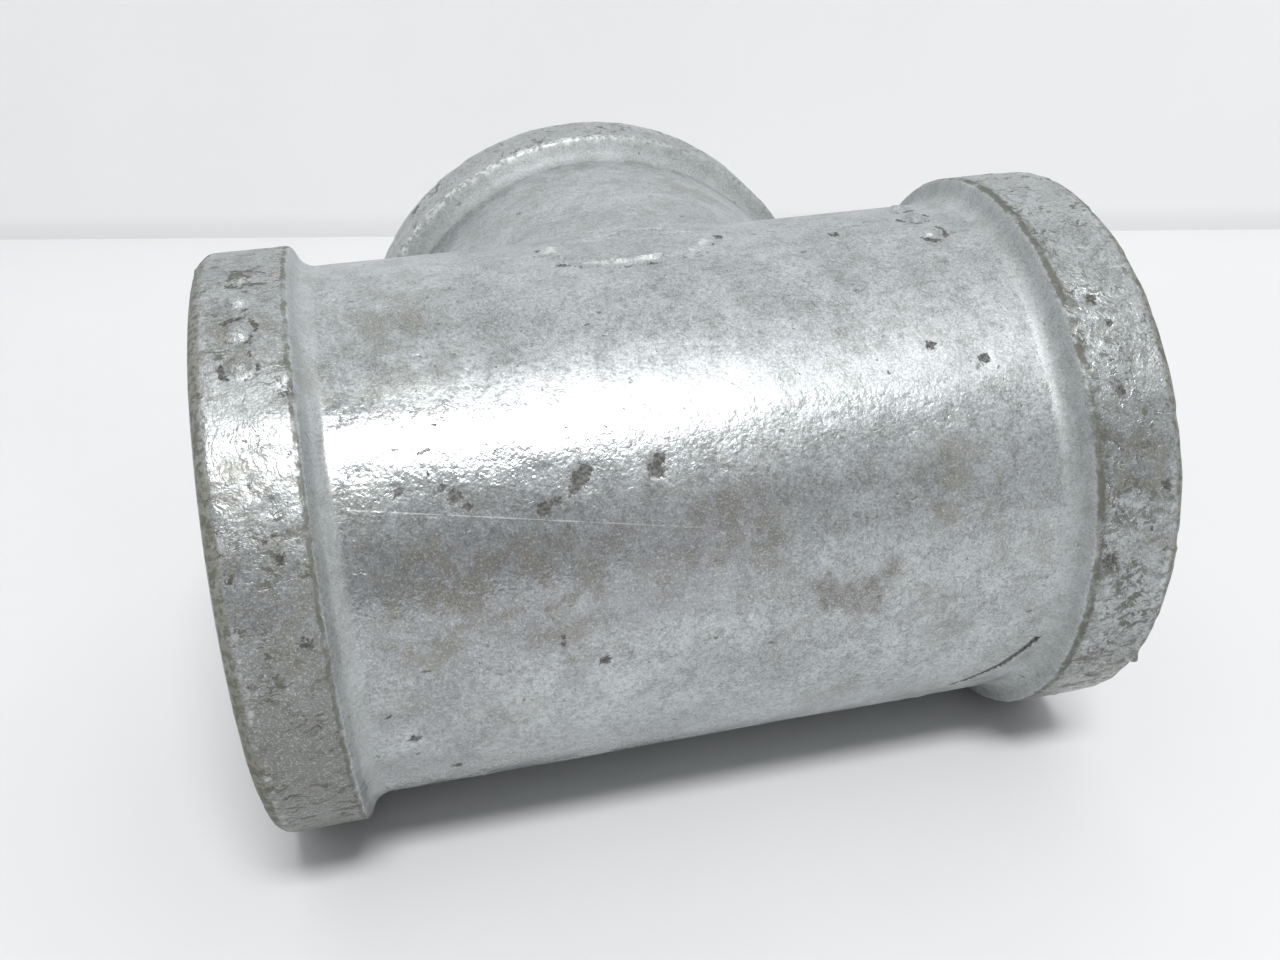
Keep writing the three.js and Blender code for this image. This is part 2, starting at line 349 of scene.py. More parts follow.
def cast_relief(p, n, area):
    """How far each point of the outer skin stands off the drawn shape, and how much dirt lies there."""
    t = along(p)
    right = step(38.0, 42.0, p[:, 0]) * ~on_branch(p)
    band = step(-0.8, 0.4, t)
    fillet = step(-4.2, -2.9, t) * (1 - step(-1.2, -0.4, t))
    over = reach_of(p) - np.where(on_branch(p), p[:, 1], np.abs(p[:, 0]))  # how far inside the end face
    rim = 1 - step(1.3, 2.6, over)
    face = 1 - step(0.02, 0.25, over)
    rng = np.random.default_rng(20)

    d = 0.15 * fbm(p, 34, 2, 3)
    d += 0.08 * fbm(p, 11, 2, 5) * (1 + 0.6 * band)
    # orange peel of the zinc: strong on the bands, calm in the fillets
    calm = (1 - 0.7 * fillet) * (1 - 0.7 * face)
    peel = 0.5 + 0.9 * step(-0.25, 0.35, fbm(p, 22, 2, 11))
    d += calm * peel * (0.034 + 0.034 * band) * fbm(p, 3.0, 2, 7)
    d += calm * (0.015 + 0.025 * band) * noise(p, 1.7, 9)
    # lumps and hollows on the bands, drawn out along the axis
    q = drawn_out(p, 0.42)
    d += band * (1 - face) * (0.075 + 0.06 * right) * fbm(q, 3.4, 2, 31)
    d -= band * (1 - face) * (0.13 + 0.12 * right) * step(0.30, 0.62, noise(q, 2.3, 33))
    # the rims are worn and nibbled
    d += rim * (1 - face) * 0.13 * fbm(p, 4.2, 3, 41)
    d -= rim * (1 - face) * 0.22 * step(0.28, 0.6, noise(p, 2.6, 43))
    # the inner edge of each band is beaded where the zinc ran and set
    bead = np.exp(-(((t + 0.15) / 0.75) ** 2))
    d += bead * (0.13 * fbm(p, 3.4, 2, 47) + 0.07 * noise(p, 1.7, 49))

    # where the mould's halves met: a low, broken line in the plane of the axes
    line = np.exp(-(((p[:, 2] - 0.25 * noise(p, 14, 51)) / 0.6) ** 2))
    broken = step(-0.2, 0.45, fbm(p, 8, 2, 53))
    outer = (1 - face) * (np.abs(n[:, 2]) < 0.35)
    d += line * broken * outer * (0.05 + 0.17 * band) * (1 - 0.6 * fillet)

    # the plain oval pad, with a soft raised lip, and the plain pips
    up = step(0.2, 0.5, n[:, 2])
    e = oval(p)
    lip = np.exp(-(((e - 0.90) / 0.10) ** 2))
    d += up * (0.22 * (1 - step(0.88, 1.05, e)) + 0.52 * lip * (0.75 + 0.5 * noise(p, 3.5, 62)))
    r = pip_distance(p) + 0.18 * noise(p, 1.6, 63)
    d += 0.66 * (1 - step(0.55, 1.75, r))

    # pits, dross pimples, a cold lap and a fresh nick
    dirt = np.zeros(len(p))

    def dent(centre, radius, depth):
        near = np.linalg.norm(p - centre, axis=1)
        near = near * (1 + 0.3 * noise(p, 0.9, 71))
        w = np.exp(-((near / radius) ** 2) * 1.15)
        return w * depth, w

    for c, radius, depth in PITS:
        lift, w = dent(np.array(c), radius, depth)
        d -= lift
        dirt = np.maximum(dirt, np.minimum(1.0, 1.35 * w) * (1 - 0.40 * band))
    skin_share = area * (1 - face)
    for i in scatter(rng, p, 130, skin_share * (0.25 + 1.8 * band)):
        lift, w = dent(p[i], rng.uniform(0.35, 0.85), rng.uniform(0.05, 0.15))
        d -= lift
        dirt = np.maximum(dirt, 0.45 * w * band)
    for i in scatter(rng, p, 200, skin_share * (0.5 + 1.0 * band)):
        d += dent(p[i], rng.uniform(0.35, 0.8), rng.uniform(0.04, 0.15))[0]
    for i in scatter(rng, p, 20, skin_share * (n[:, 2] < 0.1)):
        d += dent(p[i], rng.uniform(1.2, 2.2), rng.uniform(0.05, 0.12))[0]
    gap = lap_distance(p) + 0.18 * noise(p, 1.6, 75)
    groove = np.exp(-((gap / 0.40) ** 2))
    d -= 0.22 * groove
    d += 0.14 * np.exp(-(((gap - 1.1) / 0.8) ** 2)) * (p[:, 0] > 34) * (p[:, 1] < 0)
    dirt = np.maximum(dirt, groove)
    lift, w = dent(np.array(NICK), 1.1, 0.22)
    d -= lift
    # a spur of flash on the lower right rim
    spur = np.linalg.norm((p - np.array([56.2, -35.6, -16.2])) / (1.0, 1.0, 0.8), axis=1)
    d += 0.85 * np.exp(-((spur / 0.85) ** 2))
    # dirt packed round the raised marks
    ring = np.exp(-(((e - 1.12) / 0.06) ** 2)) * up * step(-0.1, 0.5, noise(p, 2.2, 66) - 0.035 * p[:, 1]) * step(-0.6, 0.1, noise(p, 0.9, 68))
    collar = np.exp(-(((r - 2.05) / 0.38) ** 2)) * step(-0.25, 0.3, noise(p, 1.9, 67))
    dirt = np.maximum(dirt, np.maximum(0.85 * ring, 0.8 * collar))
    # the end faces stay nearly flat
    d *= 1 - 0.86 * face
    return d, dirt


def point_area(me):
    w = np.zeros(len(me.vertices))
    for f in me.polygons:
        a = f.area / len(f.vertices)
        for v in f.vertices:
            w[v] += a
    return w


def refine(me):
    """Halves the faces round the raised marks, the pits and the lap."""
    p = points(me)
    near = (oval(p) < 1.35) & (p[:, 2] > 20)
    near |= pip_distance(p) < 2.9
    near |= (lap_distance(p) < 1.6) | (np.linalg.norm(p - np.array(NICK), axis=1) < 2.0)
    near |= np.linalg.norm(p - np.array([56.2, -35.6, -16.2]), axis=1) < 2.0
    for c, radius, _ in PITS:
        near |= np.linalg.norm(p - np.array(c), axis=1) < radius * 1.7
    bm = bmesh.new()
    bm.from_mesh(me)
    bm.verts.ensure_lookup_table()
    edges = [e for e in bm.edges if near[e.verts[0].index] and near[e.verts[1].index]]
    bmesh.ops.subdivide_edges(bm, edges=edges, cuts=1, use_grid_fill=True)
    bm.to_mesh(me)
    bm.free()
    me.update()


skin_verts, skin_faces = outside()
skin = mesh_of("tee_skin", skin_verts, skin_faces)
refine(skin)
p = points(skin)
d, dirt = cast_relief(p, normals(skin), point_area(skin))
# nothing hangs below the plane it rests on or reaches past the end faces
moved = p + normals(skin) * d[:, None]
moved[:, 2] = np.maximum(moved[:, 2], -BAND_R + 0.01)
for axis, sign, band in ((0, 1, RIGHT), (0, -1, LEFT), (1, 1, BRANCH)):
    limit = END + band["out"] + 0.03
    over = sign * moved[:, axis] > limit
    moved[over, axis] = sign * limit
set_points(skin, moved)
layer = skin.attributes.new("dirt", "FLOAT", "POINT")
layer.data.foreach_set("value", dirt.astype(np.float32))

# ---- the inside: cored waterway and tapped sockets --------------------------------------------


def lathe(profile, sides, axis, twist=0.0):
    """A closed solid of revolution from (distance, radius) pairs that start and end on the axis."""
    a = np.linspace(0, 2 * math.pi, sides, endpoint=False) + twist
    cols = []
    for s, r in profile:
        ring = np.stack([np.full(sides, s), r * np.cos(a), r * np.sin(a)], 1)
        cols.append(ring)
    grid = np.stack(cols, 1)
    n, m = grid.shape[:2]
    i, j = np.meshgrid(np.arange(n), np.arange(m - 1), indexing="ij")
    i2 = (i + 1) % n
    f = np.stack([i * m + j, i * m + j + 1, i2 * m + j + 1, i2 * m + j], -1).reshape(-1, 4)
    return turn(grid.reshape(-1, 3), axis), f


def turn(v, axis):
    """Points drawn along +X, turned to run along the axis named."""
    if axis == "+x":
        return v
    if axis == "-x":
        return v * np.array([-1, -1, 1])
    return np.stack([-v[:, 1], v[:, 0], v[:, 2]], 1)


def frange(a, b, step_mm):
    n = max(1, round(abs(b - a) / step_mm))
    return [a + (b - a) * k / n for k in range(n + 1)]


land = END - LAND
bore = PITCH_R - THREAD_H / 2 - LAND * TAPER


def chamber_half():
    out = [(s, CHAMBER_R) for s in frange(0, land - 3.4, 1.5)]
    for k in range(1, 7):  # the core's rounded end, down to the tapped land
        a = math.pi / 2 * k / 6
        out.append((land - 3.4 + 3.0 * math.sin(a), CHAMBER_R - 1.5 * (1 - math.cos(a))))
    out += [(land - 0.1, CHAMBER_R - 2.4), (land + 0.25, bore - 0.1), (land + 0.25, 12.0), (land + 0.25, 0.0)]
    return out


def roughen(me, seed, amount=1.0):
    p = points(me)
    d = 0.16 * fbm(p, 9, 3, seed) + 0.07 * fbm(p, 2.6, 2, seed + 3)
    d += 0.10 * step(0.35, 0.6, noise(p, 3.3, seed + 5))
    keep = 1 - step(land - 0.7, land - 0.2, np.maximum(np.abs(p[:, 0]), p[:, 1]))
    set_points(me, p - normals(me) * (d * amount * keep)[:, None])


half_profile = chamber_half()
run_profile = [(-s, r) for s, r in reversed(half_profile)] + half_profile[1:]
chamber_run = mesh_of("chamber_run", *lathe(run_profile, 128, "+x"))
roughen(chamber_run, 101)
chamber_branch = mesh_of("chamber_branch", *lathe([(0.0, 0.0), (0.0, 15.0), (0.0, CHAMBER_R)] + half_profile[1:], 128, "+y"))
roughen(chamber_branch, 131)


def thread(axis, twist):
    """The tapped thread as a solid bar: flats on crest and root, cut through the land from the mouth to the chamber."""
    per_turn = 120
    shape = [(0.00, 0.0), (0.06, 0.0), (0.50, 1.0), (0.56, 1.0)]  # share of the pitch, share of the height
    first = LAND + PITCH + 0.5
    turns = 11
    rows = []
    for k in range(turns + 1):
        for at, h in shape:
            rows.append((k + at, h))
    low = PITCH_R - THREAD_H / 2
    i = np.arange(per_turn)
    grid = []
    for at, h in rows:
        depth = first - PITCH * (at + i / per_turn)
        r = low + THREAD_H * h - np.maximum(depth, 0) * TAPER
        a = 2 * math.pi * i / per_turn + twist
        grid.append(np.stack([END - depth, r * np.cos(a), r * np.sin(a)], 1))
    m = len(shape)
    verts = np.concatenate(grid)
    faces = []
    total = turns * m

    def v(i, j):
        return j * per_turn + i if i < per_turn else (j + m) * per_turn

    for j in range(total):
        if j + 1 >= len(rows):
            break
        for k in range(per_turn):
            if k + 1 == per_turn and j + 1 + m >= len(rows) + 0:
                pass
            faces.append((v(k, j), v(k + 1, j), v(k + 1, j + 1), v(k, j + 1)))
    used = max(max(f) for f in faces) + 1
    while used > len(verts):
        # one more helix row, so that the last turn closes
        at, h = (len(rows) // m) + shape[len(rows) % m][0], shape[len(rows) % m][1]
        depth = first - PITCH * (at + i / per_turn)
        r = low + THREAD_H * h - np.maximum(depth, 0) * TAPER
        a = 2 * math.pi * i / per_turn + twist
        rows.append((at, h))
        verts = np.concatenate([verts, np.stack([END - depth, r * np.cos(a), r * np.sin(a)], 1)])
    inner = len(verts)
    verts = np.concatenate([verts, [[END - first - 1.0, 0, 0], [END + PITCH * 1.5, 0, 0]]])

    def loop(j):
        return [v(k, j) for k in range(per_turn)] + [v(0, j + q) for q in range(m, 0, -1)]

    a, b = loop(0), loop(total)
    faces = [list(f) for f in faces]
    for k in range(len(a)):
        faces.append([inner, a[(k + 1) % len(a)], a[k]])
        faces.append([inner + 1, b[k], b[(k + 1) % len(b)]])
    return turn(verts, axis), faces


def drop_loose(verts, faces):
    used = sorted({v for f in faces for v in f})
    where = {v: k for k, v in enumerate(used)}
    return verts[used], [[where[v] for v in f] for f in faces]


def mouth(axis, out):
    """Countersink: a slight break at the end face, then 45 degrees down past the first thread."""
    lip = 30.9
    return lathe(
        [
            (END - lip + 1.2, 0.0),
            (END - 4.6, lip - 4.1),
            (END - 2.6, lip - 2.15),
            (END + out - 0.45, lip),
            (END + out - 0.17, lip + 0.22),
            (END + out - 0.03, lip + 0.5),
            (END + out + 0.25, lip + 1.3),
            (END + out + 2.0, lip + 1.4),
            (END + out + 2.0, 0.0),
        ],
        160,
        axis,
    )


# ---- materials --------------------------------------------------------------------------------


class Graph:
    """Short names for a node tree's usual pieces."""

    def __init__(self, name):
        self.mat = bpy.data.materials.new(name)
        self.mat.use_nodes = True
        self.tree = self.mat.node_tree
        self.tree.nodes.clear()
        self.out = self.node("ShaderNodeOutputMaterial")

    def node(self, kind, **props):
        n = self.tree.nodes.new(kind)
        for k, v in props.items():
            setattr(n, k, v)
        return n

    def put(self, socket, value):
        if isinstance(value, bpy.types.NodeSocket):
            self.tree.links.new(value, socket)
        elif isinstance(value, (tuple, list)) and socket.type == "RGBA" and len(value) == 3:
            socket.default_value = (*value, 1.0)
        else:
            socket.default_value = value

    def math(self, op, a, b=None, c=None, clamp=False):
        n = self.node("ShaderNodeMath", operation=op, use_clamp=clamp)
        for k, v in enumerate((a, b, c)):
            if v is not None:
                self.put(n.inputs[k], v)
        return n.outputs[0]

    def vector(self, op, a, b=None):
        n = self.node("ShaderNodeVectorMath", operation=op)
        self.put(n.inputs[0], a)
        if b is not None:
            self.put(n.inputs[3 if op == "SCALE" else 1], b)
        return n.outputs[1 if op in ("LENGTH", "DISTANCE", "DOT_PRODUCT") else 0]

    def noise(self, where, wave, detail=2.0, rough=0.5, distort=0.0, seed=0.0):
        n = self.node("ShaderNodeTexNoise", noise_dimensions="3D")
        shifted = self.vector("ADD", where, (seed * 13.7, seed * 7.3, seed * 3.1)) if seed else where
        self.put(n.inputs["Vector"], shifted)
        self.put(n.inputs["Scale"], 1.0 / wave)
        self.put(n.inputs["Detail"], detail)
        self.put(n.inputs["Roughness"], rough)
        self.put(n.inputs["Distortion"], distort)
        return n.outputs["Fac"]

    def cells(self, where, wave, feature="F1", seed=0.0):
        n = self.node("ShaderNodeTexVoronoi", voronoi_dimensions="3D", feature=feature)
        shifted = self.vector("ADD", where, (seed * 11.7, seed * 5.3, seed * 9.1)) if seed else where
        self.put(n.inputs["Vector"], shifted)
        self.put(n.inputs["Scale"], 1.0 / wave)
        return n

    def ramp(self, value, lo_, hi_, out_lo=0.0, out_hi=1.0, smooth=True):
        n = self.node("ShaderNodeMapRange", interpolation_type="SMOOTHSTEP" if smooth else "LINEAR")
        self.put(n.inputs["Value"], value)
        self.put(n.inputs["From Min"], lo_)
        self.put(n.inputs["From Max"], hi_)
        self.put(n.inputs["To Min"], out_lo)
        self.put(n.inputs["To Max"], out_hi)
        return n.outputs[0]

    def mix(self, fac, a, b, blend="MIX"):
        n = self.node("ShaderNodeMix", data_type="RGBA", blend_type=blend)
        self.put(n.inputs[0], fac)
        self.put(n.inputs[6], a)
        self.put(n.inputs[7], b)
        return n.outputs[2]

    def blend(self, fac, a, b):
        n = self.node("ShaderNodeMix", data_type="FLOAT")
        self.put(n.inputs[0], fac)
        self.put(n.inputs[2], a)
        self.put(n.inputs[3], b)
        return n.outputs[0]

    def mul(self, *values):
        out = values[0]
        for v in values[1:]:
            out = self.math("MULTIPLY", out, v)
        return out

    def add(self, *values):
        out = values[0]
        for v in values[1:]:
            out = self.math("ADD", out, v)
        return out

    def inverse(self, v):
        return self.math("SUBTRACT", 1.0, v, clamp=True)

    def bump(self, height, distance, strength=1.0, normal=None):
        n = self.node("ShaderNodeBump")
        self.put(n.inputs["Strength"], strength)
        self.put(n.inputs["Distance"], distance)
        self.put(n.inputs["Height"], height)
        if normal is not None:
            self.put(n.inputs["Normal"], normal)
        return n.outputs["Normal"]

    def surface(self, color, rough, metal, normal=None, **more):
        n = self.node("ShaderNodeBsdfPrincipled")
        self.put(n.inputs["Base Color"], color)
        self.put(n.inputs["Roughness"], rough)
        self.put(n.inputs["Metallic"], metal)
        for k, v in more.items():
            self.put(n.inputs[k], v)
        if normal is not None:
            self.put(n.inputs["Normal"], normal)
        self.tree.links.new(n.outputs[0], self.out.inputs["Surface"])
        return self.mat

    def place(self):
        """Position in millimetres from the crossing of the axes."""
        c = self.node("ShaderNodeTexCoord").outputs["Object"]
        return self.vector("SUBTRACT", self.vector("SCALE", c, 1000.0), tuple(float(x) for x in CENTRE))

    def spot(self, where, centre, radius, soft=0.5):
        d = self.vector("DISTANCE", where, tuple(float(x) for x in centre))
        return self.ramp(d, radius * soft, radius, 1.0, 0.0)

    def attribute(self, name):
        return self.node("ShaderNodeAttribute", attribute_name=name).outputs["Fac"]


def zinc(name, inside=False):
    """Weathered hot-dip zinc over cast iron, painted by where each point lies on the casting."""
    g = Graph(name)
    p = g.place()
    xyz = g.node("ShaderNodeSeparateXYZ")
    g.put(xyz.inputs[0], p)
    x, y, z = xyz.outputs
    branch = g.math("GREATER_THAN", y, BAND_R + 0.9)
    to_right = g.ramp(x, -2.0, 2.0)
    side = g.blend(branch, g.blend(to_right, LEFT["shift"], RIGHT["shift"]), BRANCH["shift"])
    out = g.blend(branch, g.blend(to_right, LEFT["out"], RIGHT["out"]), BRANCH["out"])
    reach = g.blend(branch, g.math("ABSOLUTE", x), y)
    t = g.math("SUBTRACT", g.math("SUBTRACT", reach, side), END - BAND_W)
    over = g.math("SUBTRACT", g.add(out, END), reach)
    front = g.inverse(branch)

    # warped place, so that no patch's edge is a clean circle or line
    warp = g.node("ShaderNodeTexNoise", noise_dimensions="3D")
    g.put(warp.inputs["Vector"], p)
    g.put(warp.inputs["Scale"], 1 / 2.0)
    g.put(warp.inputs["Detail"], 3.0)
    pw = g.vector("ADD", p, g.vector("SCALE", g.vector("SUBTRACT", warp.outputs["Color"], (0.5, 0.5, 0.5)), 2.6))
    wide = g.node("ShaderNodeTexNoise", noise_dimensions="3D")
    g.put(wide.inputs["Vector"], p)
    g.put(wide.inputs["Scale"], 1 / 6.0)
    g.put(wide.inputs["Detail"], 5.0)
    g.put(wide.inputs["Roughness"], 0.62)
    pq = g.vector("ADD", p, g.vector("SCALE", g.vector("SUBTRACT", wide.outputs["Color"], (0.5, 0.5, 0.5)), 15.0))
    # place drawn out along the neck's own axis
    stretch = g.node("ShaderNodeMix", data_type="VECTOR")
    g.put(stretch.inputs[0], branch)
    g.put(stretch.inputs[4], g.vector("MULTIPLY", pw, (0.42, 1.0, 1.0)))
    g.put(stretch.inputs[5], g.vector("MULTIPLY", pw, (1.0, 0.42, 1.0)))
    q = stretch.outputs[1]

    grain = g.noise(p, 0.34, 1.0, 0.5, seed=1)
    fine = g.noise(p, 0.80, 3.0, 0.65, seed=2)
    mottle = g.noise(pw, 3.2, 3.0, 0.62, seed=3)
    cloud = g.noise(pw, 12.0, 3.0, 0.55, seed=4)
    haze = g.noise(pw, 30.0, 2.0, 0.5, seed=5)

    band = g.ramp(t, -0.7, 0.3)
    right = g.mul(band, g.ramp(x, 20.0, 30.0), front)
    left = g.mul(band, g.ramp(x, -20.0, -30.0), front)
    ragged = g.add(over, g.mul(g.math("SUBTRACT", g.noise(p, 1.9, 3.0, 0.65, seed=6), 0.5), 1.7))
    rim = g.mul(g.ramp(ragged, 1.75, 1.15), g.ramp(over, 0.1, 0.35))
    face = g.ramp(over, 0.30, 0.06)
    bead = g.mul(branch, g.ramp(g.math("ABSOLUTE", g.add(t, g.mul(g.math("SUBTRACT", mottle, 0.5), 0.8), 0.3)), 0.35, 0.85, 1.0, 0.0))
    fillet = g.mul(g.ramp(g.add(t, g.mul(g.math("SUBTRACT", mottle, 0.5), 1.2)), -3.7, -2.9), g.ramp(t, -0.95, -0.35, 1.0, 0.0))

    # base: blue-grey zinc in soft clouds
    color = g.mix(g.ramp(cloud, 0.32, 0.68), (0.400, 0.428, 0.440), (0.490, 0.522, 0.536))
    color = g.mix(g.ramp(haze, 0.38, 0.64, 0.0, 0.5), color, (0.50, 0.528, 0.540))
    color = g.mix(g.ramp(mottle, 0.38, 0.56, 0.46, 0.0), color, (0.300, 0.312, 0.318))
    color = g.mix(g.ramp(g.noise(pw, 5.5, 3.0, 0.6, seed=34), 0.50, 0.64, 0.0, 0.34), color, (0.60, 0.63, 0.645))
    # darker zones: towards the bottom, on the lower left of the run, in a violet-grey belt round the middle of the run,
    # over the branch, and down each band, more so lower down
    low = g.ramp(z, -8.0, -26.0)
    color = g.mix(g.mul(low, 0.16), color, (0.24, 0.25, 0.245))
    port = g.mul(g.ramp(g.add(x, g.mul(g.math("SUBTRACT", cloud, 0.5), 22.0)), -14.0, -34.0), g.ramp(z, 20.0, 12.0), front)
    color = g.mix(g.mul(port, 0.34), color, (0.255, 0.258, 0.262))
    color = g.mix(g.mul(front, g.ramp(z, 22.0, 14.0), g.ramp(z, -14.0, -2.0), 0.14), color, (0.26, 0.255, 0.27))
    color = g.mix(g.mul(branch, 0.16), color, (0.30, 0.31, 0.31))
    color = g.mix(g.mul(left, g.add(0.24, g.ramp(z, 16.0, -6.0, 0.0, 0.62))), color, (0.180, 0.180, 0.165))
    color = g.mix(g.mul(right, g.add(0.08, g.ramp(z, 0.0, -20.0, 0.0, 0.42))), color, (0.200, 0.203, 0.185))

    # olive, brown and violet-grey stains: broad zones broken into ragged patches
    olive, umber, violet = (0.180, 0.174, 0.118), (0.185, 0.170, 0.124), (0.218, 0.210, 0.232)
    speckled = g.ramp(g.add(g.mul(fine, 0.6), g.mul(grain, 0.4)), 0.38, 0.56, 0.42, 1.0)
    broken = g.mul(g.ramp(g.noise(pw, 3.6, 4.0, 0.62, seed=7), 0.44, 0.58), speckled)
    spots = (
        ((-31.0, -33.8, 11.5), 10.0, 0.84, olive, broken),
        ((-36.0, -34.3, 6.0), 7.0, 0.74, olive, broken),
        ((-24.5, -33.8, 10.0), 9.5, 0.78, umber, broken),
        ((-19.0, -34.9, 6.0), 7.5, 0.66, umber, broken),
        ((-27.0, -33.8, 9.0), 13.0, 0.34, violet, speckled),
        ((-11.0, -33.8, 10.0), 11.0, 0.46, violet, speckled),
        ((0.0, -33.8, 11.0), 11.0, 0.46, violet, speckled),
        ((2.0, -34.0, 10.0), 11.0, 0.34, umber, broken),
        ((13.2, -35.6, 1.2), 3.6, 0.95, (0.175, 0.165, 0.150), speckled),
        ((17.6, -35.6, 2.6), 4.0, 0.95, (0.175, 0.165, 0.150), speckled),
        ((29.0, -33.0, 12.5), 8.5, 0.46, olive, broken),
        ((37.0, -34.0, 6.0), 8.0, 0.44, olive, broken),
        ((-41.0, -31.0, 17.0), 4.0, 0.40, olive, broken),
        ((-28.0, -35.0, -8.0), 8.0, 0.32, olive, broken),
        ((30.0, -26.5, -24.0), 11.0, 0.36, umber, broken),
        ((-44.0, -18.0, 31.0), 6.0, 0.50, olive, broken),
        ((-36.0, -9.0, 34.5), 9.0, 0.40, olive, broken),
        ((14.0, 30.0, 33.0), 10.0, 0.36, umber, broken),
        ((20.0, 18.0, -20.0), 16.0, 0.42, umber, broken),
        ((-22.0, 34.0, -5.0), 12.0, 0.40, olive, broken),
    )
    stain = 0.0
    for centre, radius, amount, tint, form in spots:
        patch = g.mul(g.spot(pq, centre, radius, 0.35), form, amount)
        color = g.mix(patch, color, tint)
        stain = patch if stain == 0.0 else g.math("MAXIMUM", stain, patch)
    loose = g.mul(broken, g.ramp(g.noise(pw, 13.0, 2.0, 0.6, seed=30), 0.50, 0.62), g.add(0.38, g.mul(band, 0.24)), g.blend(branch, g.math("MAXIMUM", g.ramp(z, 26.0, 16.0, 0.16, 1.0), g.ramp(x, -20.0, -36.0)), 0.30))
    color = g.mix(loose, color, olive)
    stain = g.math("MAXIMUM", stain, loose)
    # whitish bloom on the lower body: patches of zinc bloom, also a painted reflection of the pale table below
    bloom_and_painted_reflection = g.mul(g.ramp(g.noise(pw, 8.0, 4.0, 0.62, seed=8), 0.42, 0.62), g.ramp(z, 10.0, -8.0), g.inverse(band))
    bloom_and_painted_reflection = g.mul(bloom_and_painted_reflection, g.ramp(fine, 0.40, 0.62, 0.4, 1.0))
    color = g.mix(g.mul(bloom_and_painted_reflection, 0.50), color, (0.66, 0.69, 0.70))

    # wrinkled zinc: folds with creases that hold dirt
    fold = g.noise(pw, 1.05, 2.0, 0.5, seed=21)
    fold2 = g.noise(pw, 2.3, 2.0, 0.5, seed=22)
    ridge = g.math("ABSOLUTE", g.math("SUBTRACT", fold, 0.5))
    ridge2 = g.math("ABSOLUTE", g.math("SUBTRACT", fold2, 0.5))
    crease = g.ramp(ridge, 0.0, 0.045, 1.0, 0.0)
    crease2 = g.ramp(ridge2, 0.0, 0.030, 1.0, 0.0)
    held = g.mul(g.ramp(mottle, 0.62, 0.42), g.ramp(cloud, 0.66, 0.46))
    color = g.mix(g.math("MULTIPLY", g.add(g.mul(crease, 0.34), g.mul(crease2, 0.30)), g.blend(band, g.add(g.mul(held, 0.9), 0.12), g.add(g.mul(held, 0.8), 0.35)), clamp=True), color, (0.165, 0.165, 0.140))

    # salt and pepper at grain size
    dust = g.noise(p, 0.19, 0.0, 0.5, seed=27)
    color = g.mix(g.ramp(fine, 0.34, 0.52, 0.38, 0.0), color, (0.195, 0.200, 0.190))
    color = g.mix(g.ramp(grain, 0.30, 0.48, 0.36, 0.0), color, (0.190, 0.194, 0.184))
    color = g.mix(g.ramp(grain, 0.57, 0.74, 0.0, 0.28), color, (0.74, 0.765, 0.78))
    color = g.mix(g.ramp(dust, 0.22, 0.46, 0.36, 0.0), color, (0.175, 0.179, 0.171))
    color = g.mix(g.ramp(dust, 0.56, 0.78, 0.0, 0.24), color, (0.80, 0.82, 0.83))

    # bands: olive-black pitting in clusters, drawn out along the axis
    cluster = g.ramp(g.noise(p, 6.5, 3.0, 0.6, seed=23), 0.40, 0.60)
    coarse = g.ramp(g.add(g.noise(q, 1.35, 3.0, 0.68, seed=9), g.mul(right, 0.028)), 0.555, 0.610)
    small = g.ramp(g.noise(q, 0.62, 2.0, 0.6, seed=24), 0.57, 0.64)
    pitting = g.mul(band, g.math("MAXIMUM", g.mul(coarse, g.add(g.mul(cluster, 0.8), 0.2)), g.mul(small, g.add(g.mul(cluster, 0.5), 0.12))))
    peck = g.ramp(g.noise(pw, 0.85, 2.0, 0.62, seed=32), 0.560, 0.60)
    peck = g.mul(right, peck, g.ramp(g.noise(p, 4.5, 2.0, 0.6, seed=33), 0.40, 0.60, 0.25, 1.0))
    pitting = g.math("MAXIMUM", g.mul(pitting, g.blend(right, 1.0, g.ramp(z, 26.0, 0.0, 0.30, 1.0))), g.mul(peck, 0.95))
    color = g.mix(g.mul(pitting, 0.82), color, (0.082, 0.084, 0.060))

    # dark line at each band's inner edge, smoother shoulder beside it, stained rim
    edge_at = g.add(t, g.mul(g.math("SUBTRACT", g.noise(p, 1.3, 3.0, 0.6, seed=11), 0.5), 1.0))
    half = g.blend(g.math("MAXIMUM", right, g.mul(branch, 0.5)), 0.42, 0.95)
    edge = g.mul(g.ramp(g.math("DIVIDE", g.math("ABSOLUTE", g.add(edge_at, 0.15)), half), 0.35, 1.0, 1.0, 0.0), g.ramp(g.noise(p, 2.3, 3.0, 0.65, seed=10), 0.34, 0.56, 0.25, 1.0))
    color = g.mix(g.mul(fillet, 0.30), color, (0.420, 0.445, 0.440))
    color = g.mix(g.mul(edge, g.blend(branch, g.blend(right, 0.80, 0.88), 0.30)), color, (0.100, 0.106, 0.082))
    # painted highlight: speckles along the branch band's inner edge are lightened, most on the left, where the
    # softbox's reflection lies
    color = g.mix(g.mul(bead, g.ramp(fine, 0.44, 0.60, 0.05, 0.75), g.ramp(x, -8.0, 18.0, 1.0, 0.25)), color, (0.76, 0.78, 0.77))
    # the right band's root is packed with dirt on the band's own side
    root = g.mul(right, g.ramp(t, 0.2, 2.2, 1.0, 0.0), g.ramp(g.noise(p, 1.5, 3.0, 0.65, seed=31), 0.42, 0.60), g.ramp(z, -30.0, -12.0))
    color = g.mix(g.mul(root, 0.62), color, (0.105, 0.108, 0.082))
    color = g.mix(g.mul(rim, g.ramp(mottle, 0.30, 0.60, 0.35, 0.80)), color, (0.215, 0.218, 0.180))
    color = g.mix(g.mul(rim, g.ramp(fine, 0.44, 0.58, 0.0, 0.75)), color, (0.105, 0.108, 0.078))
